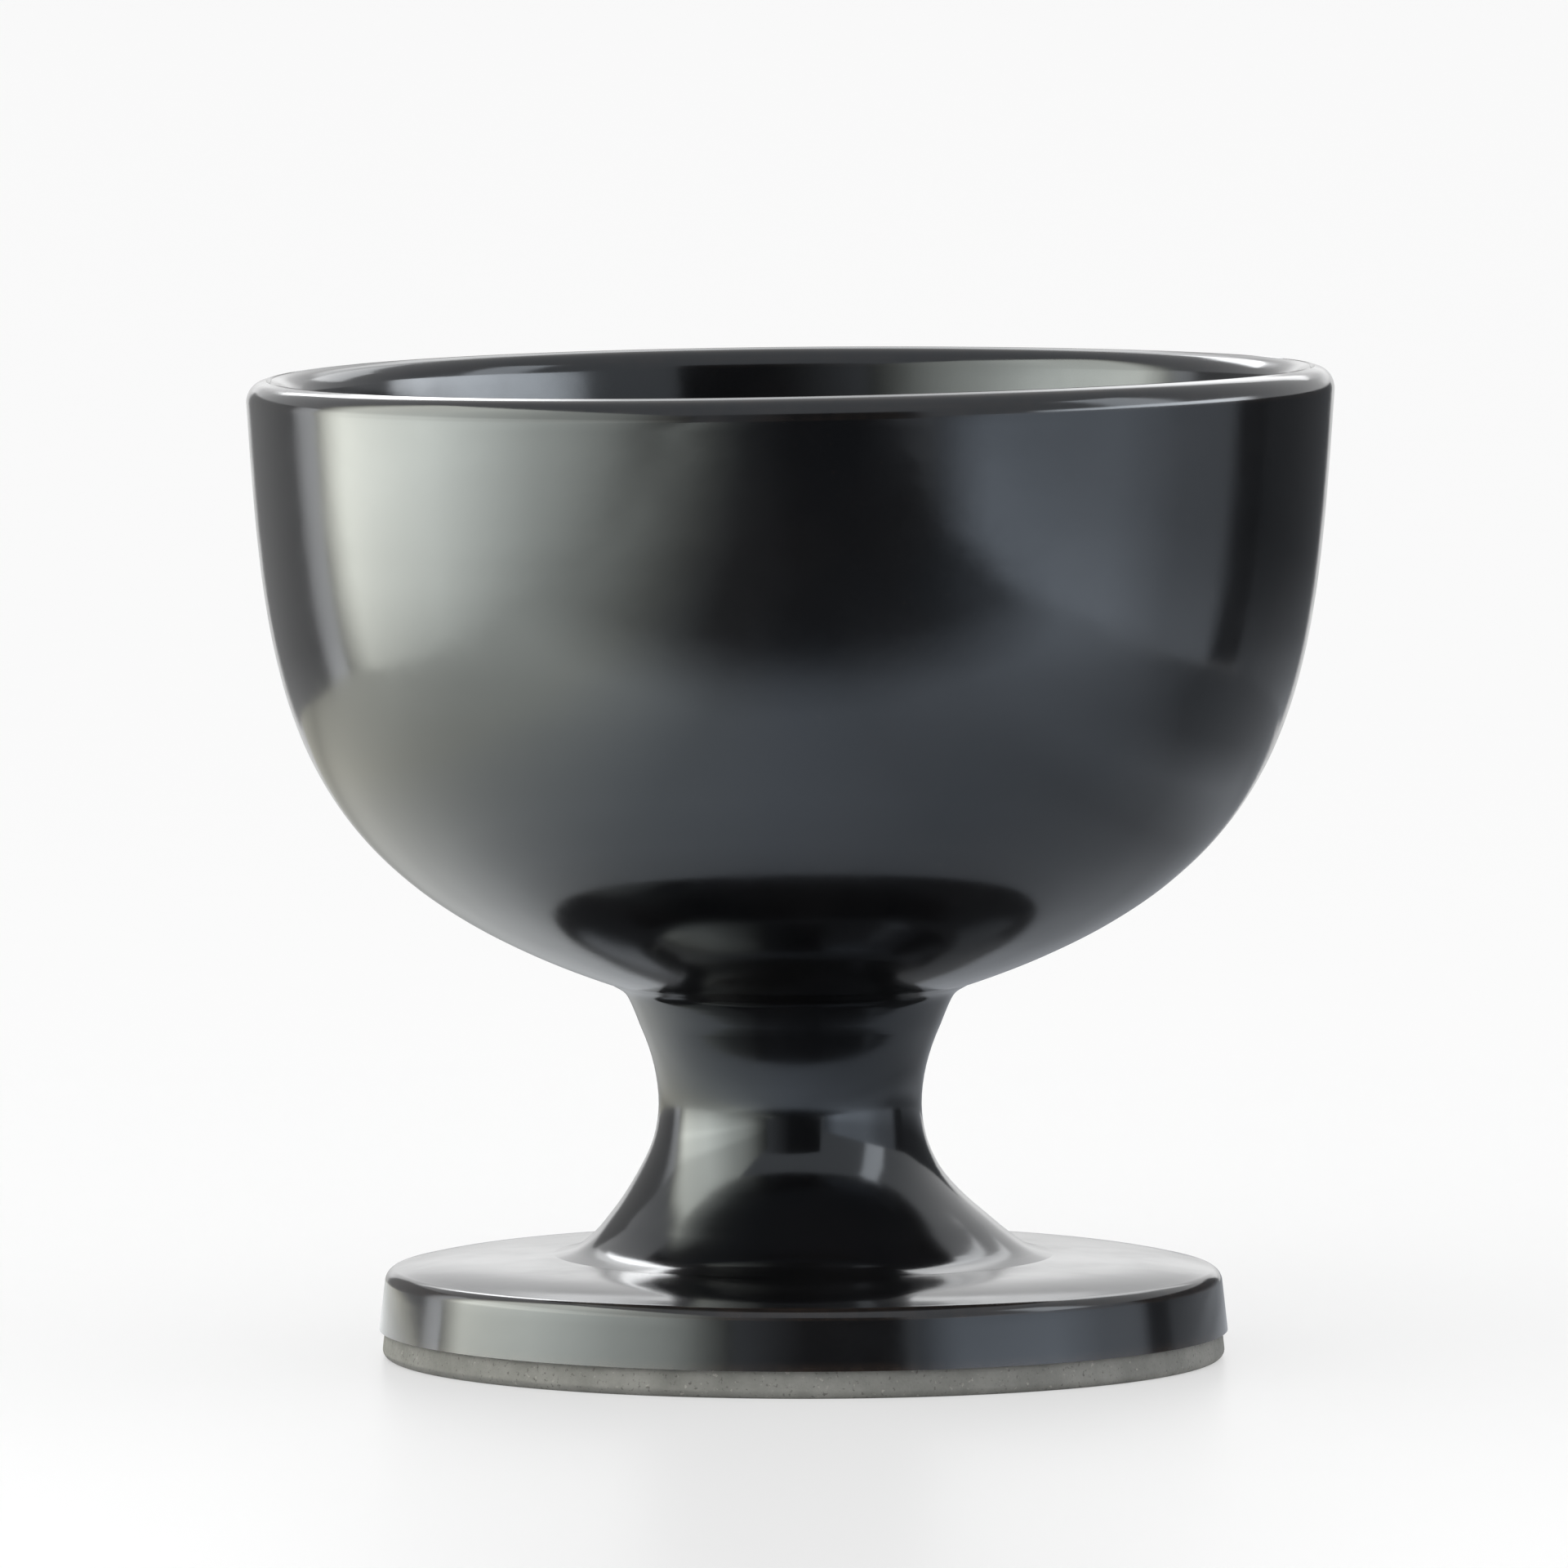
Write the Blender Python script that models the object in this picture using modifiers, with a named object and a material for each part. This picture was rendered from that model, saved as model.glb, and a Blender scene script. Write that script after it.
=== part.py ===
"""A footed faience bowl: three turned clay sections, luted with rings of slip, under two coats of black glaze.

The vessel is turned about Z and stands on Z = 0. Sizes are in metres and belong to the fired clay,
except those named for the glaze. Profiles are lists of (radius, height) points in the plane Y = 0.
"""

import math

import bpy

# Shared working values
SEGMENTS = 40
CLEARANCE = 0.0003
MERGE_DISTANCE = 0.00001

# Foot plate, from its edge to the hollow in its middle
FOOT_RADIUS = 0.0622
FOOT_EDGE_HEIGHT = 0.0124
FOOT_TOP_RISE = 0.0020
FOOT_EDGE_LEAN = 6.5
FOOT_TOP_ROUND = 0.0014
FOOT_BOTTOM_ROUND = 0.0012
STANDING_RING_WIDTH = 0.0080
RECESS_DEPTH = 0.0035
RECESS_DRAFT = 0.0015
RECESS_CROWN = 0.0020
HOLLOW_RADIUS = 0.0130

# Joint between the foot plate and the stem
REBATE_RADIUS = 0.0370
REBATE_DEPTH = 0.0015
FOOT_RING_HEIGHT = 0.0072
FOOT_RING_UPPER_REACH = 0.0045
FOOT_RING_LOWER_REACH = 0.0040
TENON_WALL = 0.0040
TENON_ENGAGEMENT = 0.0040

# Stem
STEM_HEIGHT = 0.0285
STEM_BASE_RADIUS = 0.0270
STEM_TOP_RADIUS = 0.0213
STEM_TOP_LEAN = 24.0
WAIST_RADIUS = 0.0186
WAIST_HEIGHT = 0.0166
WAIST_UPPER_REACH = 0.0042
WAIST_LOWER_REACH = 0.0070
FLARE_ANGLE = 45.0
FLARE_REACH = 0.0060

# Joint between the stem and the bowl
NECK_RING_HEIGHT = 0.0065
NECK_RING_REACH = 0.0034
SPIGOT_RADIUS = 0.0100
SPIGOT_ENGAGEMENT = 0.0050

# Bowl
RIM_RADIUS = 0.0792
BOWL_HEIGHT = 0.0885
LIP_THICKNESS = 0.0050
FLOOR_THICKNESS = 0.0072
SEAT_RADIUS = 0.0270
WALL_LEAN = 3.7
WALL_REACH = 0.0439
UNDERSIDE_RISE = 19.1
UNDERSIDE_REACH = 0.0502
INSIDE_WALL_REACH = 0.0680
INSIDE_FLOOR_REACH = 0.0500

# Glaze
GLAZE_THICKNESS = 0.0005
GLAZE_STOP_HEIGHT = 0.0040

# Points on the round stretches of the profiles
WALL_STEPS = 12
FLOOR_STEPS = 9
STEM_STEPS = 4
RING_STEPS = 3
LIP_STEPS = 3
EDGE_STEPS = 3

# Colours and roughness of the finishes
CLAY_COLOUR = (0.17, 0.17, 0.155, 1.0)
SLIP_COLOUR = (0.22, 0.215, 0.195, 1.0)
GLAZE_COLOUR = (0.012, 0.012, 0.014, 1.0)
CLAY_ROUGHNESS = 0.85
GLAZE_ROUGHNESS = 0.15

# Heights of the seats, stacked up from the ground
FOOT_TOP = FOOT_EDGE_HEIGHT + FOOT_TOP_RISE
FOOT_SEAT = FOOT_TOP - REBATE_DEPTH
FOOT_RING_BASE = FOOT_SEAT + CLEARANCE
FOOT_RING_TOP = FOOT_RING_BASE + FOOT_RING_HEIGHT
STEM_BASE = FOOT_RING_TOP + CLEARANCE
STEM_TOP = STEM_BASE + STEM_HEIGHT
NECK_RING_BASE = STEM_TOP + CLEARANCE
NECK_RING_TOP = NECK_RING_BASE + NECK_RING_HEIGHT
BOWL_SEAT = NECK_RING_TOP + CLEARANCE
BOWL_FLOOR = BOWL_SEAT + FLOOR_THICKNESS
BOWL_TOP = BOWL_SEAT + BOWL_HEIGHT

# Radii of the sockets that the tenon and the spigot enter
TENON_RADIUS = HOLLOW_RADIUS + TENON_WALL
TENON_SOCKET_RADIUS = TENON_RADIUS + CLEARANCE
SPIGOT_SOCKET_RADIUS = SPIGOT_RADIUS + CLEARANCE

# Directions in which the outside line crosses the joints, in degrees from +X towards +Z
DOWN = -90.0
AT_LIP = DOWN - WALL_LEAN
AT_SEAT = UNDERSIDE_RISE - 180.0
AT_NECK = DOWN - STEM_TOP_LEAN
AT_FLARE = -FLARE_ANGLE


def foot_side_radius(height):
    """The radius of the foot plate's leaning side at a height; its foot is the widest of the plate."""
    lean = math.radians(FOOT_EDGE_LEAN)
    tangent = FOOT_BOTTOM_ROUND * (1 + math.sin(lean))
    return FOOT_RADIUS - FOOT_BOTTOM_ROUND * (1 - math.cos(lean)) - (height - tangent) * math.tan(lean)


def foot_top_centre():
    """The centre of the round edge between the foot plate's side and its top."""
    lean = math.radians(FOOT_EDGE_LEAN)
    height = FOOT_EDGE_HEIGHT - FOOT_TOP_ROUND
    tangent = height + FOOT_TOP_ROUND * math.sin(lean)
    return (foot_side_radius(tangent) - FOOT_TOP_ROUND * math.cos(lean), height)


def at_foot_top():
    """The heading of the foot plate's top, which falls gently outwards."""
    return -math.degrees(math.atan2(FOOT_TOP_RISE, foot_top_centre()[0] - REBATE_RADIUS))


def step_along(point, heading, distance):
    """The point reached from another by going a distance along a heading in degrees."""
    angle = math.radians(heading)
    return (point[0] + distance * math.cos(angle), point[1] + distance * math.sin(angle))


def arc(centre, radius, start, end, steps):
    """Points of a round edge between two angles in degrees."""
    return [step_along(centre, start + (end - start) * i / steps, radius) for i in range(steps + 1)]


def curve(start, start_heading, start_reach, end, end_heading, end_reach, steps):
    """Points of a cubic curve that leaves its start and arrives at its end along two headings."""
    first = step_along(start, start_heading, start_reach)
    second = step_along(end, end_heading, -end_reach)
    points = []
    for i in range(steps + 1):
        t = i / steps
        weights = ((1 - t) ** 3, 3 * t * (1 - t) ** 2, 3 * t**2 * (1 - t), t**3)
        corners = (start, first, second, end)
        points.append(tuple(sum(w * c[axis] for w, c in zip(weights, corners)) for axis in (0, 1)))
    return points


def raised(line, distance):
    """A line lifted off the clay: each point moves left of the line's direction by the distance."""
    lifted = []
    for i, (radius, height) in enumerate(line):
        before = line[max(i - 1, 0)]
        after = line[min(i + 1, len(line) - 1)]
        heading = math.degrees(math.atan2(after[1] - before[1], after[0] - before[0]))
        if radius == 0:
            heading = 0.0
        lifted.append(step_along((radius, height), heading + 90.0, distance))
    return lifted


def lip(start, end):
    """The round lip of the bowl between two angles, in degrees over its crest."""
    centre = (RIM_RADIUS - LIP_THICKNESS / 2, BOWL_TOP - LIP_THICKNESS / 2)
    return arc(centre, LIP_THICKNESS / 2, start, end, LIP_STEPS)


def bowl_inside():
    """The inside wall, from the middle of the floor up to the lip."""
    top = lip(180.0 - WALL_LEAN, 90.0)[0]
    return curve(
        (0.0, BOWL_FLOOR), 0.0, INSIDE_FLOOR_REACH, top, 90.0 - WALL_LEAN, INSIDE_WALL_REACH, FLOOR_STEPS
    )


def bowl_outside():
    """The outside wall, from the lip down to the seat."""
    top = lip(90.0, -WALL_LEAN)[-1]
    return curve(
        top, AT_LIP, WALL_REACH, (SEAT_RADIUS, BOWL_SEAT), AT_SEAT, UNDERSIDE_REACH, WALL_STEPS
    )


def neck_ring_outside():
    """The hollow round side of the upper slip ring, which carries the bowl's line into the stem's."""
    top = (SEAT_RADIUS - CLEARANCE / math.tan(math.radians(UNDERSIDE_RISE)), NECK_RING_TOP)
    base = (STEM_TOP_RADIUS + CLEARANCE * math.tan(math.radians(STEM_TOP_LEAN)), NECK_RING_BASE)
    return curve(top, AT_SEAT, NECK_RING_REACH, base, AT_NECK, NECK_RING_REACH, RING_STEPS)


def stem_outside():
    """The stem's waisted side, from the neck down to the flare."""
    top = (STEM_TOP_RADIUS, STEM_TOP)
    waist = (WAIST_RADIUS, STEM_BASE + WAIST_HEIGHT)
    base = (STEM_BASE_RADIUS, STEM_BASE)
    upper = curve(top, AT_NECK, WAIST_UPPER_REACH, waist, DOWN, WAIST_UPPER_REACH, STEM_STEPS)
    lower = curve(waist, DOWN, WAIST_LOWER_REACH, base, AT_FLARE, FLARE_REACH, STEM_STEPS)
    return upper + lower[1:]


def foot_ring_outside():
    """The hollow round side of the lower slip ring, which carries the flare out to the foot plate."""
    top = (STEM_BASE_RADIUS + CLEARANCE / math.tan(math.radians(FLARE_ANGLE)), FOOT_RING_TOP)
    edge = step_along((REBATE_RADIUS, FOOT_TOP), at_foot_top(), -CLEARANCE)
    return curve(
        top, AT_FLARE, FOOT_RING_UPPER_REACH, edge, at_foot_top(), FOOT_RING_LOWER_REACH, RING_STEPS
    )


def foot_outside():
    """The foot plate's top from the rebate outwards, and its round edge down to the leaning side."""
    edge = arc(foot_top_centre(), FOOT_TOP_ROUND, 90.0, FOOT_EDGE_LEAN, EDGE_STEPS)
    return [(REBATE_RADIUS, FOOT_TOP)] + edge


def bowl_profile():
    """The bowl's closed section: inside, lip, outside, flat seat and the spigot below it."""
    spigot_end = STEM_TOP - SPIGOT_ENGAGEMENT
    spigot = [(SPIGOT_RADIUS, BOWL_SEAT), (SPIGOT_RADIUS, spigot_end), (0.0, spigot_end)]
    crest = lip(180.0 - WALL_LEAN, 90.0)[1:] + lip(90.0, -WALL_LEAN)[1:-1]
    return bowl_inside() + crest + bowl_outside() + spigot


def neck_ring_profile():
    """The upper slip ring, between the bowl's seat and the top of the stem."""
    return neck_ring_outside() + [
        (SPIGOT_SOCKET_RADIUS, NECK_RING_BASE),
        (SPIGOT_SOCKET_RADIUS, NECK_RING_TOP),
    ]


def stem_profile():
    """The hollow stem, with a socket for the foot's tenon below and one for the bowl's spigot above."""
    tenon_socket_top = STEM_BASE + TENON_ENGAGEMENT + CLEARANCE
    spigot_socket_base = STEM_TOP - SPIGOT_ENGAGEMENT - CLEARANCE
    return stem_outside() + [
        (TENON_SOCKET_RADIUS, STEM_BASE),
        (TENON_SOCKET_RADIUS, tenon_socket_top),
        (HOLLOW_RADIUS, tenon_socket_top),
        (SPIGOT_SOCKET_RADIUS, spigot_socket_base),
        (SPIGOT_SOCKET_RADIUS, STEM_TOP),
    ]


def foot_ring_profile():
    """The lower slip ring, bedded in the foot plate's rebate under the stem."""
    side = foot_ring_outside()
    return side + [
        (side[-1][0], FOOT_RING_BASE),
        (TENON_SOCKET_RADIUS, FOOT_RING_BASE),
        (TENON_SOCKET_RADIUS, FOOT_RING_TOP),
    ]


def foot_profile():
    """The foot plate: tenon, rebate, top, edge, standing ring and the recess trimmed out below."""
    tenon_top = STEM_BASE + TENON_ENGAGEMENT
    bottom_centre = (FOOT_RADIUS - FOOT_BOTTOM_ROUND, FOOT_BOTTOM_ROUND)
    bottom_edge = arc(bottom_centre, FOOT_BOTTOM_ROUND, FOOT_EDGE_LEAN, -90.0, EDGE_STEPS)
    ring_inside = FOOT_RADIUS - FOOT_BOTTOM_ROUND - STANDING_RING_WIDTH
    joint = [(TENON_RADIUS, tenon_top), (TENON_RADIUS, FOOT_SEAT), (REBATE_RADIUS, FOOT_SEAT)]
    underside = [
        (ring_inside, 0.0),
        (ring_inside - RECESS_DRAFT, RECESS_DEPTH),
        (HOLLOW_RADIUS, RECESS_DEPTH + RECESS_CROWN),
        (HOLLOW_RADIUS, tenon_top),
    ]
    return joint + foot_outside() + bottom_edge + underside


def crest_angle():
    """Half of the angle that the clearance between the two coats takes at the crest of the lip."""
    return math.degrees(CLEARANCE / LIP_THICKNESS)


def inside_coat_line():
    """The clay under the liner glaze: the bowl's inside up to the crest of the lip."""
    return bowl_inside() + lip(180.0 - WALL_LEAN, 90.0 + crest_angle())[1:]


def outside_coat_line():
    """The clay under the outer glaze: from the crest of the lip down to the foot's wiped edge."""
    sides = neck_ring_outside() + stem_outside() + foot_ring_outside() + foot_outside()
    crest = lip(90.0 - crest_angle(), -WALL_LEAN)[:-1]
    stop = (foot_side_radius(GLAZE_STOP_HEIGHT), GLAZE_STOP_HEIGHT)
    return crest + bowl_outside() + sides + [stop]


def finish(name, colour, roughness):
    """A plain material of one colour and roughness."""
    material = bpy.data.materials.new(name)
    material.use_nodes = True
    shader = material.node_tree.nodes["Principled BSDF"]
    shader.inputs["Base Color"].default_value = colour
    shader.inputs["Roughness"].default_value = roughness
    shader.inputs["Metallic"].default_value = 0.0
    material.diffuse_color = colour
    return material


def turned(name, profile, closed, colour, roughness, vessel):
    """A piece turned about Z from its profile, in the vessel's collection and under its empty."""
    edges = [(i, i + 1) for i in range(len(profile) - 1)]
    if closed:
        edges.append((len(profile) - 1, 0))
    mesh = bpy.data.meshes.new(name)
    mesh.from_pydata([(radius, 0.0, height) for radius, height in profile], edges, [])
    mesh.materials.append(finish(name + "_finish", colour, roughness))
    piece = bpy.data.objects.new(name, mesh)
    piece.parent = vessel
    vessel.users_collection[0].objects.link(piece)
    turn = piece.modifiers.new("Turn", "SCREW")
    turn.axis = "Z"
    turn.steps = SEGMENTS
    turn.render_steps = SEGMENTS
    turn.use_merge_vertices = True
    turn.merge_threshold = MERGE_DISTANCE
    turn.use_smooth_shade = True
    return piece


def clay_piece(name, profile, closed, colour, vessel):
    """A solid piece of bare fired clay."""
    return turned(name, profile, closed, colour, CLAY_ROUGHNESS, vessel)


def glaze_coat(name, clay_line, vessel):
    """A coat of glaze: the clay's line lifted by the clearance, turned and thickened outwards."""
    coat = turned(name, raised(clay_line, CLEARANCE), False, GLAZE_COLOUR, GLAZE_ROUGHNESS, vessel)
    thicken = coat.modifiers.new("Thicken", "SOLIDIFY")
    thicken.thickness = GLAZE_THICKNESS
    thicken.offset = 1.0
    thicken.use_even_offset = True
    thicken.use_rim = True
    return coat


def empty_scene():
    """Remove whatever the scene holds."""
    for thing in list(bpy.data.objects):
        bpy.data.objects.remove(thing, do_unlink=True)


def build():
    """Make the vessel: its clay sections, the slip rings between them and the coats of glaze."""
    empty_scene()
    collection = bpy.data.collections.new("footed_faience_bowl")
    bpy.context.scene.collection.children.link(collection)
    vessel = bpy.data.objects.new("vessel_axis", None)
    collection.objects.link(vessel)
    clay_piece("foot_plate", foot_profile(), True, CLAY_COLOUR, vessel)
    clay_piece("foot_slip_ring", foot_ring_profile(), True, SLIP_COLOUR, vessel)
    clay_piece("stem", stem_profile(), True, CLAY_COLOUR, vessel)
    clay_piece("neck_slip_ring", neck_ring_profile(), True, SLIP_COLOUR, vessel)
    clay_piece("bowl", bowl_profile(), False, CLAY_COLOUR, vessel)
    glaze_coat("inside_glaze", inside_coat_line(), vessel)
    glaze_coat("outside_glaze", outside_coat_line(), vessel)


build()
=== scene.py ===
"""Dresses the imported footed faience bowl: fine turned meshes, glaze and clay finishes, studio and camera.

Every clay section, slip ring and coat of glaze is turned again at a fine pitch from the section of its own
node in the frame, with the small unevenness of hand work. Sizes are in metres, and angles are in degrees but
for the turns of hand work, which are in radians.
"""

import math

import bmesh
import bpy
import numpy as np
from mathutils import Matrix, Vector

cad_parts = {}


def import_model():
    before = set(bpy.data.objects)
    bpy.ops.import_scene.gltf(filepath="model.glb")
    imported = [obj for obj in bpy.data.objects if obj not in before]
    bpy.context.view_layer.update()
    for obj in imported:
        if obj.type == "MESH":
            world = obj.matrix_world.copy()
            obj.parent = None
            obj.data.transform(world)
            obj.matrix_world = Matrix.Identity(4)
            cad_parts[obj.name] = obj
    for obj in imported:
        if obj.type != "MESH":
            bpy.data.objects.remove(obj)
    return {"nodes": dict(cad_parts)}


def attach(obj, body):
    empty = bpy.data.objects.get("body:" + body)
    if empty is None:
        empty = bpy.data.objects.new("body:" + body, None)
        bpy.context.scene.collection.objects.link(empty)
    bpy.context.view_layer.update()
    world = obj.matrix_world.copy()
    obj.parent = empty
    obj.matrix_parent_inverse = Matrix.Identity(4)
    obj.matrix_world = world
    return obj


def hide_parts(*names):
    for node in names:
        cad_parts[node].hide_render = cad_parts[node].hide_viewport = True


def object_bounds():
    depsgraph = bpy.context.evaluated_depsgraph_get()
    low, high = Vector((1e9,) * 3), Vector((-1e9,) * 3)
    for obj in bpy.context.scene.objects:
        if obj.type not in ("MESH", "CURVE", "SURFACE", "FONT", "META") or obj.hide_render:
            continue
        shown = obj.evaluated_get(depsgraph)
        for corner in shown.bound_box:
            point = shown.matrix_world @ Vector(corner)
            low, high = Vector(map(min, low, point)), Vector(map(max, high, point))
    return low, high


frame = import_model()
CAD_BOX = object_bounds()
VESSEL_TOP = CAD_BOX[1][2]
VESSEL_MIDDLE = Vector((0.0, 0.0, VESSEL_TOP / 2))
BODY = "root"

# Fineness of the turned meshes
SEGMENTS = 192
GLAZE_PITCH = 0.0014
CLAY_PITCH = 0.0020
FINE_TURN = 4.0
CORNER_ANGLE = 42.0
STRAIGHT_TURN = 10.0
STRAIGHT_RATIO = 3.0
PLANE_TOLERANCE = 0.00001
POINT_DIGITS = 6
TINY = 1e-9

# The two coats of glaze meet at the crest of the lip; these find their ends there
CREST_REACH = 0.0003
CREST_DROP = 0.0010

# Unevenness of hand work: the rim out of round, waving and higher on the right, and the marks of fingers
OVAL_DEPTH = 0.00030
OVAL_TURN = 0.6
LOBES = 3
LOBE_DEPTH = 0.00012
LOBE_TURN = 1.1
RIM_WAVE = 0.00020
RIM_WAVE_TURN = 2.0
RIM_RISE = 0.00110
LIFT_POWER = 4
FINGER_PITCH = 0.0062
FINGER_DEPTH = 0.000002
AXIS_REACH = 0.010

# The foot sits a little to one side of the stem, which takes up the shift between two heights
FOOT_SHIFT = 0.0020
SHIFT_BASE = 0.0150
SHIFT_TOP = 0.0290

# The edge radius below which glaze runs thin, and the one at which it is thinnest
THIN_START_RADIUS = 0.0050
THIN_FULL_RADIUS = 0.0015

# Finishes: a noise is (features per metre, detail, roughness), a spread maps one range to another as
# (from low, from high, to low, to high), and a bump is (height, strength)
NOISE_ROUGHNESS = 0.5

# Glaze
GLAZE_BLACK = (0.0030, 0.0031, 0.0036, 1.0)
GLAZE_SOOT = (0.0058, 0.0055, 0.0058, 1.0)
GLAZE_UMBER = (0.030, 0.021, 0.016, 1.0)
GLAZE_SPECK = (0.020, 0.016, 0.013, 1.0)
# Specular tint: a painted cool cast of the studio light on every reflection in the glaze
GLAZE_COOL_CAST_TINT = (0.833, 0.912, 1.0, 1.0)
GLAZE_IOR = 1.5
CLOUD_NOISE = (38.0, 3.0)
CLOUD_SPREAD = (0.35, 0.65, 0.0, 1.0)
BREAK_NOISE = (420.0, 4.0)
BREAK_SPREAD = (0.3, 0.7, 0.25, 0.9)
SPECK_NOISE = (1500.0, 2.0)
SPECK_SPREAD = (0.70, 0.78, 0.0, 0.5)
POLISH_NOISE = (90.0, 4.0, 0.6)
POLISH_SPREAD = (0.3, 0.7, 0.10, 0.17)
SWELL_NOISE = (45.0, 1.0)
SWELL_BUMP = (0.00030, 0.25)
SKIN_NOISE = (240.0, 2.0)
SKIN_BUMP = (0.00003, 0.30)

# Bare clay and slip
CLAY_DARK = (0.136, 0.138, 0.127, 1.0)
CLAY_PALE = (0.232, 0.233, 0.217, 1.0)
SLIP_DARK = (0.17, 0.168, 0.152, 1.0)
SLIP_PALE = (0.27, 0.263, 0.240, 1.0)
GROG_DARK = (0.060, 0.058, 0.052, 1.0)
GROG_PALE = (0.36, 0.35, 0.32, 1.0)
MOTTLE_NOISE = (130.0, 5.0, 0.6)
MOTTLE_SPREAD = (0.3, 0.7, 0.0, 1.0)
GROG_DARK_NOISE = (1700.0, 2.0)
GROG_DARK_SPREAD = (0.62, 0.72, 0.0, 0.7)
GROG_PALE_NOISE = (1150.0, 2.0)
GROG_PALE_SPREAD = (0.66, 0.74, 0.0, 0.5)
GRAIN_NOISE = (2600.0, 3.0)
GRAIN_SPREAD = (0.3, 0.7, 0.72, 0.92)
GRAIN_BUMP = (0.00010, 0.5)
TRIM_PITCH = 0.0017
TRIM_NOISE = (60.0, 2.0)
CLAY_TRIM_BUMP = (0.00012, 0.5)
SLIP_TRIM_BUMP = (0.00003, 0.5)

# Camera, from the widths of the rim and foot ellipses in the photograph
CAMERA_DISTANCE = 2.64
CAMERA_HEIGHT = 0.272
AIM_X = -0.0009
AIM_HEIGHT = 0.0847
FRAME_WIDTH = 0.2313
SENSOR_WIDTH = 36.0
CLIP_START = 0.05
CLIP_END = 100.0

# Floor and surround
FLOOR_REACH = 30.0
FLOOR_DARK = (0.890, 0.890, 0.890, 1.0)
FLOOR_PALE = (0.900, 0.900, 0.900, 1.0)
FLOOR_NOISE = (30.0, 2.0)
FLOOR_ROUGHNESS = 0.30
FLOOR_IOR = 1.32
FLOOR_WHITE = 0.955
FLOOR_EVENNESS = 0.50
WORLD_COLOUR = (1.0, 1.0, 1.0, 1.0)
WORLD_STRENGTH = 0.98

# Studio panels, which only the vessel's gloss shows. A glow is stops of (place along one axis, strength),
# and a rise is stops of (height, share of that strength)
WARM = (1.0, 0.985, 0.860, 1.0)
WHITE = (1.0, 1.0, 1.0, 1.0)
COOL = (0.92, 0.965, 1.03, 1.0)
PANEL_HEIGHT = 0.55
LEFT_PANEL_X = -0.36
LEFT_GLOW = ((-1.05, 0.3), (-0.72, 2.0), (-0.30, 7.5), (-0.10, 12.6), (0.06, 11.4), (0.13, 1.6))
LEFT_RISE = (
    (0.0, 0.53), (0.05, 0.85), (0.075, 0.93), (0.086, 1.06), (0.097, 1.06), (0.12, 0.92),
    (0.18, 0.92), (0.22, 0.70), (PANEL_HEIGHT, 0.62),
)
RIGHT_PANEL_X = 0.38
RIGHT_GLOW = (
    (-0.66, 0.5), (-0.44, 2.0), (-0.16, 1.8), (-0.05, 0.95), (0.05, 0.70), (0.08, 0.08), (0.15, 0.06)
)
RIGHT_PANEL_TOP = 0.165
RIGHT_RISE = ((0.0, 1.7), (0.04, 1.35), (0.07, 1.0), (RIGHT_PANEL_TOP, 1.0))
UPPER_PANEL_X = 1.0
UPPER_PANEL_TOP = 0.36
UPPER_GLOW = ((-0.80, 4.0), (-0.54, 8.0), (-0.20, 10.0), (0.20, 10.0), (0.35, 6.0), (0.42, 1.0))
HIGH_PANEL_TOP = 1.1
HIGH_GLOW = ((-0.42, 1.0), (-0.34, 4.5), (-0.06, 4.5), (0.0, 1.0))
RIM_PANEL_Y = 0.29
RIM_PANEL_Z = (0.24, 0.37)
RIM_GLOW = ((0.045, 3.5), (0.22, 3.5))
LIP_PANEL_Y = 0.60
LIP_PANEL_Z = (0.37, 0.57)
LIP_GLOW = ((-0.34, 2.0), (-0.28, 8.0), (-0.14, 8.0), (-0.07, 2.0))
BACK_PANEL_Y = 10.5
BACK_PANEL_REACH = 4.3
BACK_GLOW = (
    (0.0, 0.97), (0.60, 0.97), (1.0, 1.40), (1.7, 1.40), (2.1, 1.10), (4.2, 1.10), (4.7, 2.40), (8.5, 2.40)
)

# Cards that keep the glaze dark where the photograph is dark, each with its glow as above
CARD_END = (0.22, 0.58)
LEFT_CARD_TOP = 0.22
LEFT_CARD_GLOW = ((0.13, 3.0), (0.17, 2.0), (0.20, 0.45), (0.58, 0.28))
LEFT_CARD_RISE = ((0.0, 1.30), (0.03, 1.0), (LEFT_CARD_TOP, 1.0))
RIGHT_CARD_GLOW = ((0.0, 0.42), (0.04, 0.20), (0.07, 0.11))
FRONT_CARD_Y = -1.2
FRONT_CARD_REACH = 0.62
FRONT_CARD_HEIGHT = 0.80
FRONT_CARD_GLOW = ((-0.36, 0.65), (-0.12, 0.28), (0.02, 0.07), (0.36, 0.05))

# Heights of the lowest cards and of the clear veil over the floor
CARD_LIFT = 0.001
VEIL_LIFT = 0.0005

# Card over the floor, a painted reflection of the floor that only gloss meets: rows of (place along Y, glow
# along X), blended along Y, brighter on the left as painted light and dimmer round the foot as painted shade
FLOOR_ROWS = (
    (-0.55, ((-0.36, 3.6), (-0.27, 1.8), (-0.20, 0.8), (-0.10, 0.18), (0.02, 0.06), (0.37, 0.09))),
    (-0.34, ((-0.36, 4.0), (-0.20, 1.5), (-0.10, 0.22), (0.02, 0.09), (0.18, 0.20), (0.37, 0.80))),
    (-0.22, ((-0.36, 5.5), (-0.20, 4.3), (-0.06, 1.7), (0.06, 1.32), (0.15, 1.50), (0.37, 2.30))),
    (0.02, (
        (-0.36, 4.2), (-0.20, 2.7), (-0.06, 1.75), (0.06, 0.82),
        (0.13, 0.50), (0.18, 0.72), (0.24, 0.40), (0.37, 0.36),
    )),
    (0.10, (
        (-0.36, 3.2), (-0.20, 2.1), (-0.06, 1.0), (0.06, 0.45),
        (0.13, 0.40), (0.18, 0.68), (0.24, 0.38), (0.37, 0.34),
    )),
    (0.30, ((-0.36, 1.0), (-0.05, 0.50), (0.06, 0.40), (0.15, 0.34), (0.37, 0.30))),
)
FLOOR_CARD_BACK = 0.50
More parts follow.
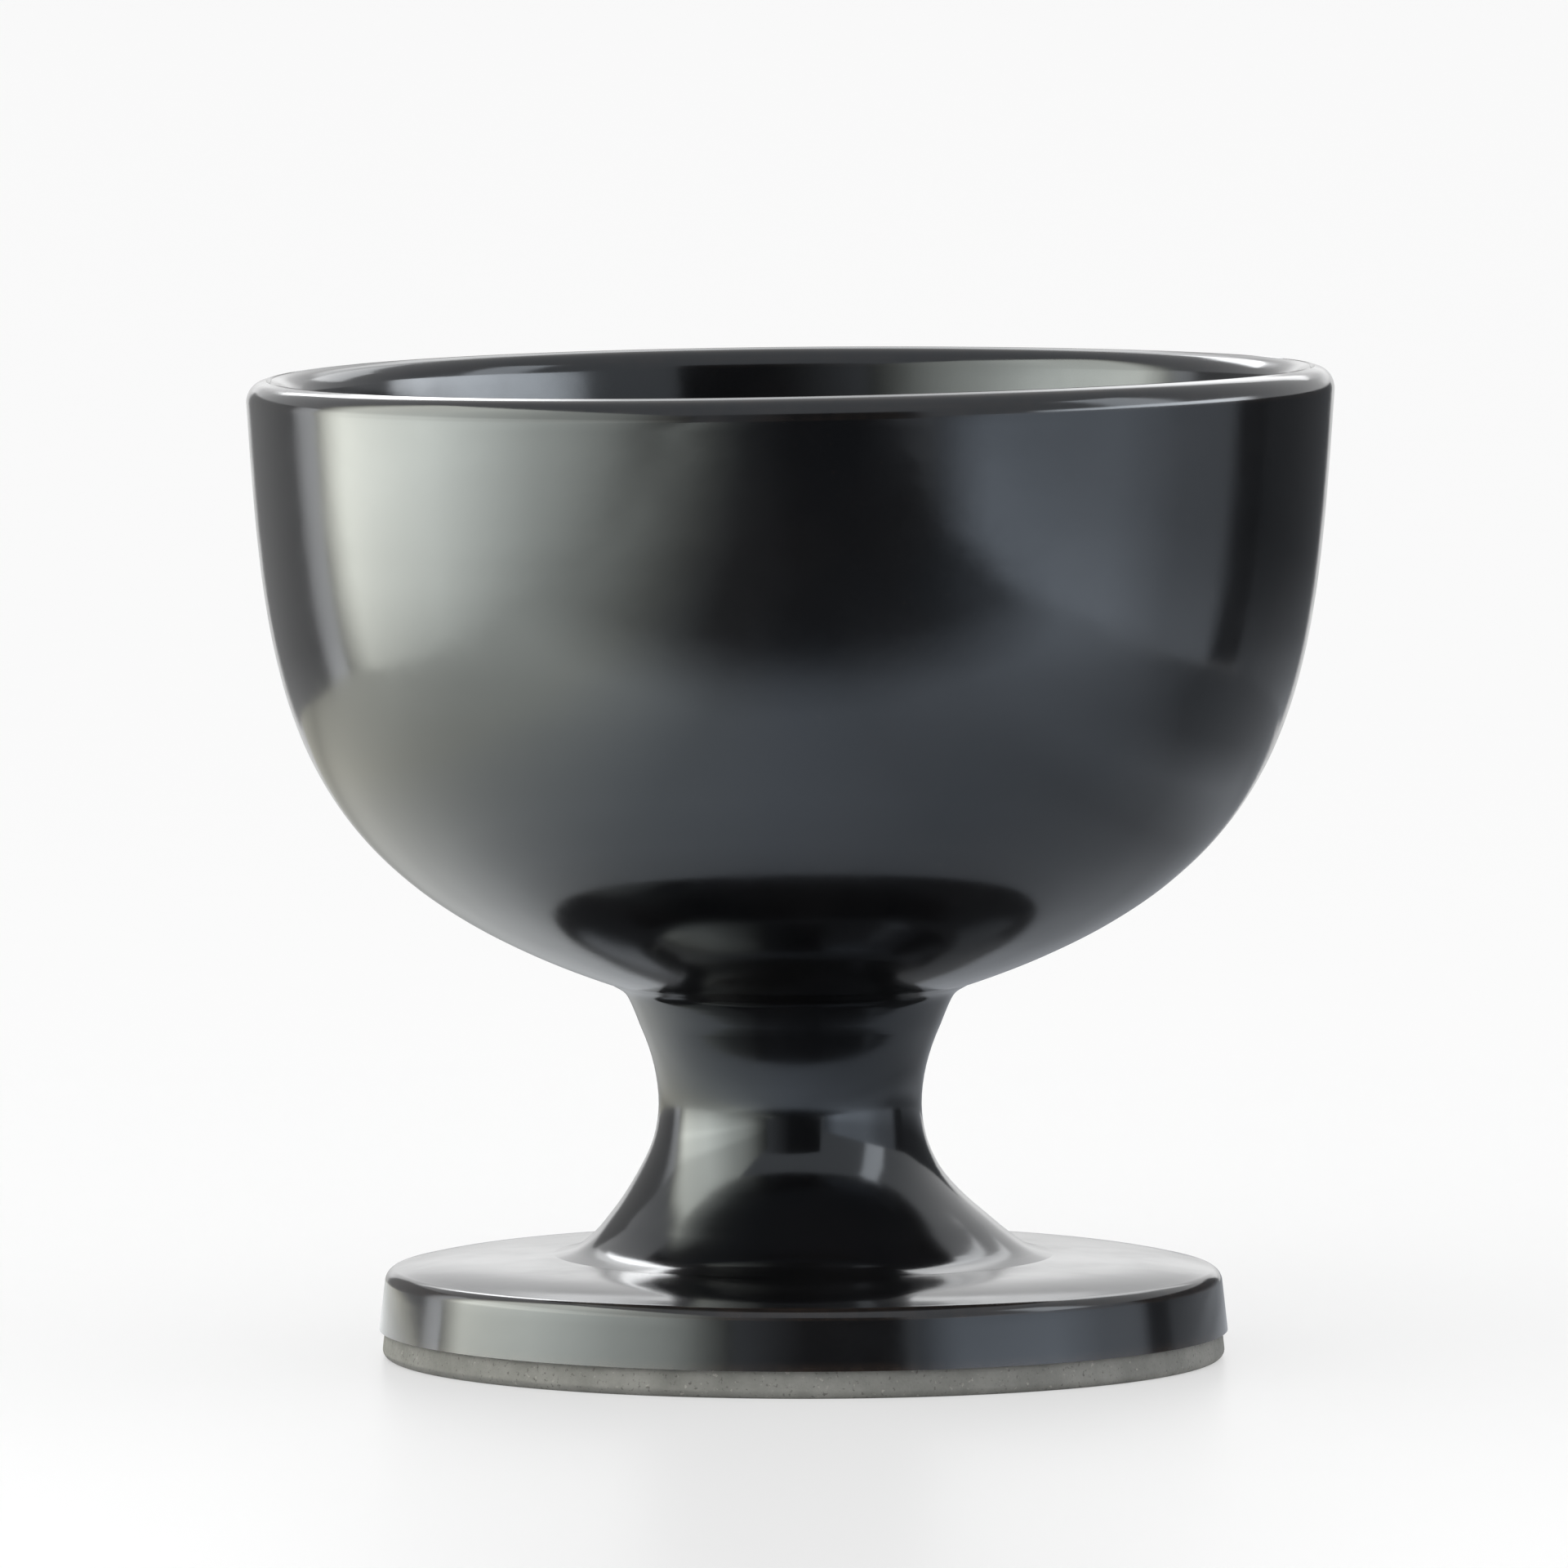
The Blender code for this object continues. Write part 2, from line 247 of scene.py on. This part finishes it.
# Painted shade of the foot on the floor card: (distance from the axis, share of the glow)
FLOOR_CARD_PAINTED_SHADE = ((0.062, 0.60), (0.085, 0.85), (0.120, 1.0))
# Painted light on the floor card: warm on the left, turning cool by the middle along X
FLOOR_CARD_PAINTED_CAST_X = (-0.20, 0.0)

# Soft lamp above and before the vessel
TOP_LAMP_PLACE = (-0.5, -1.0, 1.3)
TOP_LAMP_SIZE = 1.2
TOP_LAMP_POWER = 4.0
TOP_LAMP_COLOUR = (1.0, 0.99, 0.97)
TOP_LAMP_AIM = (0.0, 0.0, 0.0)

# Where a colour ramp's new marks stand until they are placed
MARK_START = 0.5


def section(node):
    """A node's section in the plane Y = 0: an ordered list of (radius, height), and whether it is closed."""
    mesh = frame["nodes"][node].data
    spots = {}
    for vertex in mesh.vertices:
        x, y, z = vertex.co
        if abs(y) < PLANE_TOLERANCE and x > -PLANE_TOLERANCE:
            spots[vertex.index] = (round(max(x, 0.0), POINT_DIGITS), round(z, POINT_DIGITS))
    links = {}
    for edge in mesh.edges:
        a, b = (spots.get(i) for i in edge.vertices)
        if a and b and a != b:
            links.setdefault(a, set()).add(b)
            links.setdefault(b, set()).add(a)
    ends = [spot for spot, others in links.items() if len(others) == 1]
    line = [min(ends) if ends else max(links)]
    while True:
        onward = [spot for spot in sorted(links[line[-1]]) if spot not in line]
        if not onward:
            return line, not ends
        line.append(onward[0])


def turning(before, here, after):
    """The angle by which a line turns at a point."""
    first = math.atan2(here[1] - before[1], here[0] - before[0])
    second = math.atan2(after[1] - here[1], after[0] - here[0])
    return abs(math.degrees(math.remainder(second - first, math.tau)))


def between(first, second):
    """The angle between two directions."""
    cosine = float(first @ second) / float(np.linalg.norm(first) * np.linalg.norm(second))
    return math.degrees(math.acos(min(1.0, max(-1.0, cosine))))


def headings(points):
    """Directions of a smooth line at its points: level on the axis, and true to any long straight run."""
    steps = np.diff(points, axis=0)
    lengths = np.linalg.norm(steps, axis=1)
    units = steps / lengths[:, None]
    found = np.vstack([units[:1], units])
    for i in range(1, len(points) - 1):
        before, after = lengths[i - 1], lengths[i]
        uneven = max(before, after) > STRAIGHT_RATIO * min(before, after)
        if uneven and between(units[i - 1], units[i]) > STRAIGHT_TURN:
            found[i] = units[i - 1] if before > after else units[i]
        else:
            found[i] = (units[i - 1] * after + units[i] * before) / (before + after)
    for end in (0, -1):
        if points[end][0] == 0.0:
            found[end] = (math.copysign(1.0, found[end][0]), 0.0)
    return found, lengths


def smooth_stretch(points, pitch):
    """A stretch without corners as a smooth line through its points, finer where it turns."""
    points = np.array(points, float)
    directions, lengths = headings(points)
    line = []
    for i, length in enumerate(lengths):
        turn = between(directions[i], directions[i + 1])
        count = max(1, round(length / pitch), math.ceil(turn / FINE_TURN))
        for t in np.arange(count) / count:
            line.append(
                (2 * t**3 - 3 * t**2 + 1) * points[i]
                + (t**3 - 2 * t**2 + t) * length * directions[i]
                + (3 * t**2 - 2 * t**3) * points[i + 1]
                + (t**3 - t**2) * length * directions[i + 1]
            )
    return np.array(line + [points[-1]])


def fine_section(line, closed, pitch):
    """A section with its round stretches smoothed and its corners kept."""
    size = len(line)
    inner = range(size) if closed else range(1, size - 1)
    corners = [i for i in inner if turning(line[i - 1], line[i], line[(i + 1) % size]) > CORNER_ANGLE]
    if closed:
        line = line[corners[0] :] + line[: corners[0]] + [line[corners[0]]]
        cuts = [i - corners[0] for i in corners] + [size]
    else:
        cuts = [0] + corners + [size - 1]
    rows = []
    for start, end in zip(cuts, cuts[1:]):
        rows.extend(map(tuple, smooth_stretch(line[start : end + 1], pitch)[:-1]))
    return rows if closed else rows + [line[-1]]


def thinness(rows):
    """How thin glaze runs at each point of a closed section: 1 on tight outer edges and 0 elsewhere."""
    points = np.array(rows)
    ahead = np.roll(points, -1, axis=0) - points
    behind = points - np.roll(points, 1, axis=0)
    area = np.sum(points[:, 0] * ahead[:, 1] - points[:, 1] * ahead[:, 0])
    turn = (behind[:, 0] * ahead[:, 1] - behind[:, 1] * ahead[:, 0]) * math.copysign(1.0, area)
    sides = np.linalg.norm(ahead, axis=1), np.linalg.norm(behind, axis=1)
    sine = np.clip(turn / np.maximum(sides[0] * sides[1], TINY**2), -1.0, 1.0)
    bend = np.arcsin(sine) / np.maximum((sides[0] + sides[1]) / 2, TINY)
    low = 1 / THIN_START_RADIUS
    high = 1 / THIN_FULL_RADIUS
    return np.clip((bend - low) / (high - low), 0, 1)


def eased(value, low, high):
    """A smooth step from 0 at the low end to 1 at the high end."""
    t = min(max((value - low) / (high - low), 0.0), 1.0)
    return t * t * (3 - 2 * t)


def hand_made(radius, height, angle, marks):
    """A point of the vessel moved by the unevenness of hand work, which grows towards the rim."""
    up = min(max(height / VESSEL_TOP, 0.0), 1.0)
    out = OVAL_DEPTH * up * math.cos(2 * (angle - OVAL_TURN))
    out += LOBE_DEPTH * up * math.cos(LOBES * angle + LOBE_TURN)
    out += marks * math.sin(math.tau * height / FINGER_PITCH - angle)
    out *= min(radius / AXIS_REACH, 1.0)
    lift = RIM_WAVE * math.cos(2 * angle + RIM_WAVE_TURN) + RIM_RISE * math.cos(angle)
    aside = FOOT_SHIFT * (1.0 - eased(height, SHIFT_BASE, SHIFT_TOP))
    return (
        (radius + out) * math.cos(angle) + aside,
        (radius + out) * math.sin(angle),
        height + lift * up**LIFT_POWER * min(radius / AXIS_REACH, 1.0),
    )


def turned(name, rows, closed, marks):
    """A mesh object turned about Z from the rows of a section."""
    vertices = []
    rings = []
    thin = []
    for (radius, height), edge in zip(rows, thinness(rows)):
        count = 1 if radius == 0.0 else SEGMENTS
        rings.append(range(len(vertices), len(vertices) + count))
        for i in range(count):
            vertices.append(hand_made(radius, height, math.tau * i / SEGMENTS, marks))
            thin.append(edge)
    pairs = list(zip(rings, rings[1:]))
    if closed:
        pairs.append((rings[-1], rings[0]))
    faces = []
    for low, high in pairs:
        faces.extend(band(low, high))
    mesh = bpy.data.meshes.new(name)
    mesh.from_pydata(vertices, [], faces)
    mesh.attributes.new("thin", "FLOAT", "POINT").data.foreach_set("value", thin)
    face_outwards(mesh)
    mesh.shade_smooth()
    mesh.set_sharp_from_angle(angle=math.radians(CORNER_ANGLE))
    piece = bpy.data.objects.new(name, mesh)
    bpy.context.scene.collection.objects.link(piece)
    return piece


def band(low, high):
    """The faces between two rings, either of which may be a single point on the axis."""
    faces = []
    if len(low) == 1 and len(high) == 1:
        return faces
    for i in range(SEGMENTS):
        j = (i + 1) % SEGMENTS
        if len(low) == 1:
            faces.append((low[0], high[j], high[i]))
        elif len(high) == 1:
            faces.append((low[i], low[j], high[0]))
        else:
            faces.append((low[i], low[j], high[j], high[i]))
    return faces


def face_outwards(mesh):
    """Turn the faces of a closed mesh so that their normals point out of it."""
    work = bmesh.new()
    work.from_mesh(mesh)
    bmesh.ops.recalc_face_normals(work, faces=work.faces)
    work.to_mesh(mesh)
    work.free()


def link(tree, source, target):
    """Join two sockets of a node tree."""
    tree.links.new(source, target)


def new_material(name):
    """A material with only its Principled shader, and its tree."""
    material = bpy.data.materials.new(name)
    material.use_nodes = True
    tree = material.node_tree
    return material, tree, tree.nodes["Principled BSDF"]


def object_space(tree):
    """Coordinates in metres of the vessel."""
    return tree.nodes.new("ShaderNodeTexCoord").outputs["Object"]


def noise(tree, coordinates, scale, detail, roughness=NOISE_ROUGHNESS):
    """A noise texture of features per metre."""
    node = tree.nodes.new("ShaderNodeTexNoise")
    node.inputs["Scale"].default_value = scale
    node.inputs["Detail"].default_value = detail
    node.inputs["Roughness"].default_value = roughness
    link(tree, coordinates, node.inputs["Vector"])
    return node.outputs["Fac"]


def spread(tree, value, low, high, out_low, out_high):
    """A value mapped from one range to another and held within it."""
    node = tree.nodes.new("ShaderNodeMapRange")
    node.inputs["From Min"].default_value = low
    node.inputs["From Max"].default_value = high
    node.inputs["To Min"].default_value = out_low
    node.inputs["To Max"].default_value = out_high
    link(tree, value, node.inputs["Value"])
    return node.outputs["Result"]


def mixed(tree, factor, first, second):
    """Two colours mixed by a factor; each is a socket or a plain colour."""
    node = tree.nodes.new("ShaderNodeMix")
    node.data_type = "RGBA"
    link(tree, factor, node.inputs["Factor"])
    for socket, colour in (("A", first), ("B", second)):
        target = [s for s in node.inputs if s.name == socket and s.type == "RGBA"][0]
        if isinstance(colour, tuple):
            target.default_value = colour
        else:
            link(tree, colour, target)
    return [s for s in node.outputs if s.type == "RGBA"][0]


def sums(tree, operation, first, second):
    """A piece of arithmetic on two values; each is a socket or a number."""
    node = tree.nodes.new("ShaderNodeMath")
    node.operation = operation
    for socket, value in zip(node.inputs, (first, second)):
        if isinstance(value, (int, float)):
            socket.default_value = value
        else:
            link(tree, value, socket)
    return node.outputs["Value"]


def bumped(tree, shader, heights):
    """Bumps in order, each a (texture socket, (height, strength)), on the shader's normal."""
    normal = None
    for height, (distance, strength) in heights:
        node = tree.nodes.new("ShaderNodeBump")
        node.inputs["Distance"].default_value = distance
        node.inputs["Strength"].default_value = strength
        link(tree, height, node.inputs["Height"])
        if normal:
            link(tree, normal, node.inputs["Normal"])
        normal = node.outputs["Normal"]
    link(tree, normal, shader.inputs["Normal"])


def glaze_material(name):
    """Glossy black faience glaze: deep black where it lies thick, breaking to umber on thin edges."""
    material, tree, shader = new_material(name)
    place = object_space(tree)
    thin = tree.nodes.new("ShaderNodeAttribute")
    thin.attribute_name = "thin"
    clouds = spread(tree, noise(tree, place, *CLOUD_NOISE), *CLOUD_SPREAD)
    colour = mixed(tree, clouds, GLAZE_BLACK, GLAZE_SOOT)
    ragged = spread(tree, noise(tree, place, *BREAK_NOISE), *BREAK_SPREAD)
    colour = mixed(tree, sums(tree, "MULTIPLY", thin.outputs["Fac"], ragged), colour, GLAZE_UMBER)
    specks = spread(tree, noise(tree, place, *SPECK_NOISE), *SPECK_SPREAD)
    colour = mixed(tree, specks, colour, GLAZE_SPECK)
    link(tree, colour, shader.inputs["Base Color"])
    polish = noise(tree, place, *POLISH_NOISE)
    link(tree, spread(tree, polish, *POLISH_SPREAD), shader.inputs["Roughness"])
    shader.inputs["IOR"].default_value = GLAZE_IOR
    # Painted cool cast of the studio light, tinting the glaze's reflections
    shader.inputs["Specular Tint"].default_value = GLAZE_COOL_CAST_TINT
    swell = noise(tree, place, *SWELL_NOISE)
    skin = noise(tree, place, *SKIN_NOISE)
    bumped(tree, shader, ((swell, SWELL_BUMP), (skin, SKIN_BUMP)))
    return material


def from_axis(tree, place):
    """The distance of a point from the vessel's axis."""
    level = tree.nodes.new("ShaderNodeVectorMath")
    level.operation = "MULTIPLY"
    level.inputs[1].default_value = (1.0, 1.0, 0.0)
    link(tree, place, level.inputs[0])
    length = tree.nodes.new("ShaderNodeVectorMath")
    length.operation = "LENGTH"
    link(tree, level.outputs["Vector"], length.inputs[0])
    return length.outputs["Value"]


def clay_material(name, dark, pale, trim_bump):
    """Bare fired clay: mottled, gritty, and ringed where a trimming tool ran round it."""
    material, tree, shader = new_material(name)
    place = object_space(tree)
    mottle = spread(tree, noise(tree, place, *MOTTLE_NOISE), *MOTTLE_SPREAD)
    colour = mixed(tree, mottle, dark, pale)
    dark_grog = spread(tree, noise(tree, place, *GROG_DARK_NOISE), *GROG_DARK_SPREAD)
    colour = mixed(tree, dark_grog, colour, GROG_DARK)
    pale_grog = spread(tree, noise(tree, place, *GROG_PALE_NOISE), *GROG_PALE_SPREAD)
    colour = mixed(tree, pale_grog, colour, GROG_PALE)
    link(tree, colour, shader.inputs["Base Color"])
    grain = noise(tree, place, *GRAIN_NOISE)
    link(tree, spread(tree, grain, *GRAIN_SPREAD), shader.inputs["Roughness"])
    rings = sums(tree, "SINE", sums(tree, "MULTIPLY", from_axis(tree, place), math.tau / TRIM_PITCH), 0.0)
    uneven = sums(tree, "MULTIPLY", rings, noise(tree, place, *TRIM_NOISE))
    bumped(tree, shader, ((uneven, trim_bump), (grain, GRAIN_BUMP)))
    return material


def crest_radius():
    """The radius at which the two coats of glaze meet on the crest of the lip."""
    tops = [max(section(node)[0], key=lambda spot: spot[1]) for node in ("inside_glaze", "outside_glaze")]
    return sum(radius for radius, height in tops) / len(tops)


def coat(name, node, finish):
    """A coat of glaze turned again from its node and carried on to the crest of the lip."""
    line, closed = section(node)
    crest = crest_radius()
    top = max(height for radius, height in line)
    for i, (radius, height) in enumerate(line):
        if abs(radius - crest) < CREST_REACH and height > top - CREST_DROP:
            line[i] = (crest, height)
    piece = turned(name, fine_section(line, closed, GLAZE_PITCH), closed, FINGER_DEPTH)
    dressed(piece, node, finish)


def clay_section(name, node, finish):
    """A clay section or slip ring turned again from its node."""
    line, closed = section(node)
    piece = turned(name, fine_section(line, closed, CLAY_PITCH), closed, 0.0)
    dressed(piece, node, finish)


def dressed(piece, node, finish):
    """Give a piece its finish, and let it ride and stand for its node."""
    piece.data.materials.append(finish)
    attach(piece, BODY)
    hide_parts(node)


def vessel():
    """Every piece of the vessel."""
    glaze = glaze_material("black_glaze")
    clay = clay_material("fired_clay", CLAY_DARK, CLAY_PALE, CLAY_TRIM_BUMP)
    slip = clay_material("fired_slip", SLIP_DARK, SLIP_PALE, SLIP_TRIM_BUMP)
    clay_section("foot_plate_clay", "foot_plate", clay)
    clay_section("foot_luting_slip", "foot_slip_ring", slip)
    clay_section("stem_clay", "stem", clay)
    clay_section("neck_luting_slip", "neck_slip_ring", slip)
    clay_section("bowl_clay", "bowl", clay)
    coat("liner_glaze_coat", "inside_glaze", glaze)
    coat("outer_glaze_coat", "outside_glaze", glaze)


def sheet_object(name, corners, material):
    """A flat four-cornered stage object."""
    mesh = bpy.data.meshes.new(name)
    mesh.from_pydata(corners, [], [(0, 1, 2, 3)])
    mesh.materials.append(material)
    thing = bpy.data.objects.new(name, mesh)
    bpy.context.scene.collection.objects.link(thing)
    return thing


def level_corners(reach, height):
    """The corners of a level square about the vessel's axis."""
    return [(x * reach, y * reach, height) for x, y in ((-1, -1), (1, -1), (1, 1), (-1, 1))]


def only_in_reflections(thing):
    """Keep a sheet out of the picture and off the diffuse light, so that only gloss meets it."""
    thing.visible_camera = False
    thing.visible_diffuse = False
    thing.visible_transmission = False
    thing.visible_volume_scatter = False
    thing.visible_shadow = False


def card(name, corners, material):
    """A flat studio card with its front to the vessel."""
    thing = sheet_object(name, corners, material)
    face = thing.data.polygons[0]
    if face.normal.dot(VESSEL_MIDDLE - face.center) < 0:
        thing.data.flip_normals()
    only_in_reflections(thing)


def upright(name, ends, top, colour, axis, stops, rise=None, base=CARD_LIFT):
    """A glowing studio card standing over the floor between two (x, y) ends."""
    (x0, y0), (x1, y1) = ends
    corners = [(x0, y0, base), (x1, y1, base), (x1, y1, top), (x0, y0, top)]
    card(name, corners, glow(f"{name}_glow", colour, axis, stops, rise))


def lying(name, start, end, height, material):
    """A level studio card at a height between two (x, y) corners."""
    (x0, y0), (x1, y1) = start, end
    card(name, [(x, y, height) for x, y in ((x0, y0), (x1, y0), (x1, y1), (x0, y1))], material)


def stops_along(tree, value, stops):
    """A strength that follows (place, strength) stops along a coordinate, with straight runs between."""
    start, end = stops[0][0], stops[-1][0]
    peak = max(strength for place, strength in stops)
    ramp = tree.nodes.new("ShaderNodeValToRGB")
    marks = ramp.color_ramp.elements
    while len(marks) < len(stops):
        marks.new(MARK_START)
    for mark, (place, strength) in zip(marks, stops):
        mark.position = (place - start) / (end - start)
        mark.color = (strength / peak, strength / peak, strength / peak, 1.0)
    link(tree, spread(tree, value, start, end, 0.0, 1.0), ramp.inputs["Fac"])
    return sums(tree, "MULTIPLY", ramp.outputs["Color"], peak)


def emitter(name, colour):
    """A material that only shines, with its tree, its emission and its coordinates.

    It is clear from behind, and to light that has come through the veil from the floor.
    """
    material = bpy.data.materials.new(name)
    material.use_nodes = True
    tree = material.node_tree
    tree.nodes.clear()
    emission = tree.nodes.new("ShaderNodeEmission")
    emission.inputs["Color"].default_value = colour
    clear = tree.nodes.new("ShaderNodeBsdfTransparent")
    side = tree.nodes.new("ShaderNodeMixShader")
    behind = tree.nodes.new("ShaderNodeNewGeometry").outputs["Backfacing"]
    veiled = tree.nodes.new("ShaderNodeLightPath").outputs["Transparent Depth"]
    link(tree, sums(tree, "MAXIMUM", behind, veiled), side.inputs["Fac"])
    link(tree, emission.outputs["Emission"], side.inputs[1])
    link(tree, clear.outputs["BSDF"], side.inputs[2])
    output = tree.nodes.new("ShaderNodeOutputMaterial")
    link(tree, side.outputs["Shader"], output.inputs["Surface"])
    axes = tree.nodes.new("ShaderNodeSeparateXYZ")
    link(tree, object_space(tree), axes.inputs["Vector"])
    return material, tree, emission, axes.outputs


def glow(name, colour, axis, stops, rise=None):
    """An emission that follows stops along one axis, and may follow others up from the floor."""
    material, tree, emission, axes = emitter(name, colour)
    strength = stops_along(tree, axes[axis], stops)
    if rise:
        strength = sums(tree, "MULTIPLY", strength, stops_along(tree, axes["Z"], rise))
    link(tree, strength, emission.inputs["Strength"])
    return material


def painted_floor_glow(name):
    """The floor's painted reflection as gloss shows it: rows of glow blended along Y, with painted warm light
    on the left and painted shade round the foot.
    """
    material, tree, emission, axes = emitter(name, WHITE)
    # Painted warm light on the left of the floor card, cool towards the middle
    cool = spread(tree, axes["X"], *FLOOR_CARD_PAINTED_CAST_X, 0.0, 1.0)
    link(tree, mixed(tree, cool, WARM, COOL), emission.inputs["Color"])
    before, stops = FLOOR_ROWS[0]
    strength = stops_along(tree, axes["X"], stops)
    for place, stops in FLOOR_ROWS[1:]:
        change = sums(tree, "SUBTRACT", stops_along(tree, axes["X"], stops), strength)
        share = spread(tree, axes["Y"], before, place, 0.0, 1.0)
        strength = sums(tree, "ADD", strength, sums(tree, "MULTIPLY", change, share))
        before = place
    # Painted shade of the foot: the floor card's glow dims round the vessel's axis
    shade = stops_along(tree, from_axis(tree, object_space(tree)), FLOOR_CARD_PAINTED_SHADE)
    link(tree, sums(tree, "MULTIPLY", strength, shade), emission.inputs["Strength"])
    return material


def evened(tree, shader):
    """Mix plain white into a shader where the camera, gloss or glass sees it, to lighten its shade."""
    ray = tree.nodes.new("ShaderNodeLightPath").outputs
    seen = sums(tree, "MAXIMUM", ray["Is Camera Ray"], ray["Is Glossy Ray"])
    seen = sums(tree, "MAXIMUM", seen, ray["Is Transmission Ray"])
    white = tree.nodes.new("ShaderNodeEmission")
    white.inputs["Strength"].default_value = FLOOR_WHITE
    both = tree.nodes.new("ShaderNodeMixShader")
    link(tree, sums(tree, "MULTIPLY", seen, FLOOR_EVENNESS), both.inputs["Fac"])
    link(tree, shader.outputs["BSDF"], both.inputs[1])
    link(tree, white.outputs["Emission"], both.inputs[2])
    link(tree, both.outputs["Shader"], tree.nodes["Material Output"].inputs["Surface"])


def floor():
    """The plain pale floor, a little glossy."""
    material, tree, shader = new_material("floor_white")
    evened(tree, shader)
    grain = noise(tree, object_space(tree), *FLOOR_NOISE)
    link(tree, mixed(tree, grain, FLOOR_DARK, FLOOR_PALE), shader.inputs["Base Color"])
    shader.inputs["Roughness"].default_value = FLOOR_ROUGHNESS
    shader.inputs["IOR"].default_value = FLOOR_IOR
    sheet_object("floor", level_corners(FLOOR_REACH, 0.0), material)


def veil():
    """A clear sheet over the floor that only gloss meets, which keeps the studio cards out of the floor."""
    material = bpy.data.materials.new("veil_clear")
    material.use_nodes = True
    tree = material.node_tree
    tree.nodes.clear()
    clear = tree.nodes.new("ShaderNodeBsdfTransparent")
    output = tree.nodes.new("ShaderNodeOutputMaterial")
    link(tree, clear.outputs["BSDF"], output.inputs["Surface"])
    only_in_reflections(sheet_object("veil", level_corners(FLOOR_REACH, VEIL_LIFT), material))


def ends_along_y(x, stops):
    """The two ends, as (x, y) points, of a card at one X whose glow follows stops along Y."""
    return (x, stops[0][0]), (x, stops[-1][0])


def ends_along_x(y, stops):
    """The two ends, as (x, y) points, of a card at one Y whose glow follows stops along X."""
    return (stops[0][0], y), (stops[-1][0], y)


def panels():
    """Panels at the left, in tiers at the right, over the rim and behind, and a dark card behind each side."""
    left = ends_along_y(LEFT_PANEL_X, LEFT_GLOW)
    left_back = left[1], (-CARD_END[0], CARD_END[1])
    upright("left_panel", left, PANEL_HEIGHT, WARM, "Y", LEFT_GLOW, LEFT_RISE)
    upright("left_card", left_back, LEFT_CARD_TOP, WHITE, "Y", LEFT_CARD_GLOW, LEFT_CARD_RISE)
    right = ends_along_y(RIGHT_PANEL_X, RIGHT_GLOW)
    right_back = right[1], CARD_END
    upright("right_panel", right, RIGHT_PANEL_TOP, COOL, "Y", RIGHT_GLOW, RIGHT_RISE)
    upright("right_card", right_back, RIGHT_PANEL_TOP, COOL, "Z", RIGHT_CARD_GLOW)
    upper = ends_along_y(UPPER_PANEL_X, UPPER_GLOW)
    upright("upper_panel", upper, UPPER_PANEL_TOP, WHITE, "Y", UPPER_GLOW, base=RIGHT_PANEL_TOP)
    high = ends_along_y(UPPER_PANEL_X, HIGH_GLOW)
    upright("high_panel", high, HIGH_PANEL_TOP, WHITE, "Y", HIGH_GLOW, base=UPPER_PANEL_TOP)
    rim = ends_along_x(RIM_PANEL_Y, RIM_GLOW)
    upright("rim_panel", rim, RIM_PANEL_Z[1], WHITE, "X", RIM_GLOW, base=RIM_PANEL_Z[0])
    lip = ends_along_x(LIP_PANEL_Y, LIP_GLOW)
    upright("lip_panel", lip, LIP_PANEL_Z[1], WHITE, "X", LIP_GLOW, base=LIP_PANEL_Z[0])
    back = (-BACK_PANEL_REACH, BACK_PANEL_Y), (BACK_PANEL_REACH, BACK_PANEL_Y)
    upright("back_panel", back, BACK_GLOW[-1][0], WHITE, "Z", BACK_GLOW)


def front_cards():
    """A dark upright card before the vessel, paler towards the left, and the card over the floor that carries
    the floor's painted reflection.
    """
    ends = (-FRONT_CARD_REACH, FRONT_CARD_Y), (FRONT_CARD_REACH, FRONT_CARD_Y)
    upright("front_card", ends, FRONT_CARD_HEIGHT, WHITE, "X", FRONT_CARD_GLOW)
    row = FLOOR_ROWS[0][1]
    near, far = (row[0][0], FRONT_CARD_Y), (row[-1][0], FLOOR_CARD_BACK)
    lying("floor_card", near, far, CARD_LIFT, painted_floor_glow("floor_card_glow"))


def top_lamp():
    """A broad soft lamp above and before the vessel, to the left."""
    data = bpy.data.lights.new("top_lamp", "AREA")
    data.size = TOP_LAMP_SIZE
    data.energy = TOP_LAMP_POWER
    data.color = TOP_LAMP_COLOUR
    lamp = bpy.data.objects.new("top_lamp", data)
    lamp.location = TOP_LAMP_PLACE
    lamp.visible_glossy = False
    aim(lamp, TOP_LAMP_AIM)
    bpy.context.scene.collection.objects.link(lamp)


def aim(thing, target):
    """Turn a light or camera so that it looks at a point."""
    thing.rotation_euler = (Vector(target) - Vector(thing.location)).to_track_quat("-Z", "Y").to_euler()


def world():
    """An even white surround."""
    surround = bpy.data.worlds.new("surround")
    surround.use_nodes = True
    background = surround.node_tree.nodes["Background"]
    background.inputs["Color"].default_value = WORLD_COLOUR
    background.inputs["Strength"].default_value = WORLD_STRENGTH
    bpy.context.scene.world = surround


def camera():
    """The photograph's view: a long lens a little above the rim, aimed above the middle of the vessel."""
    data = bpy.data.cameras.new("camera")
    eye = bpy.data.objects.new("camera", data)
    eye.location = (AIM_X, -CAMERA_DISTANCE, CAMERA_HEIGHT)
    aim(eye, (AIM_X, 0.0, AIM_HEIGHT))
    reach = math.hypot(CAMERA_DISTANCE, CAMERA_HEIGHT - AIM_HEIGHT)
    data.sensor_width = SENSOR_WIDTH
    data.lens = SENSOR_WIDTH * reach / FRAME_WIDTH
    data.clip_start = CLIP_START
    data.clip_end = CLIP_END
    bpy.context.scene.collection.objects.link(eye)
    bpy.context.scene.camera = eye


vessel()
floor()
veil()
panels()
front_cards()
top_lamp()
world()
camera()
bpy.context.scene.view_settings.view_transform = "Standard"
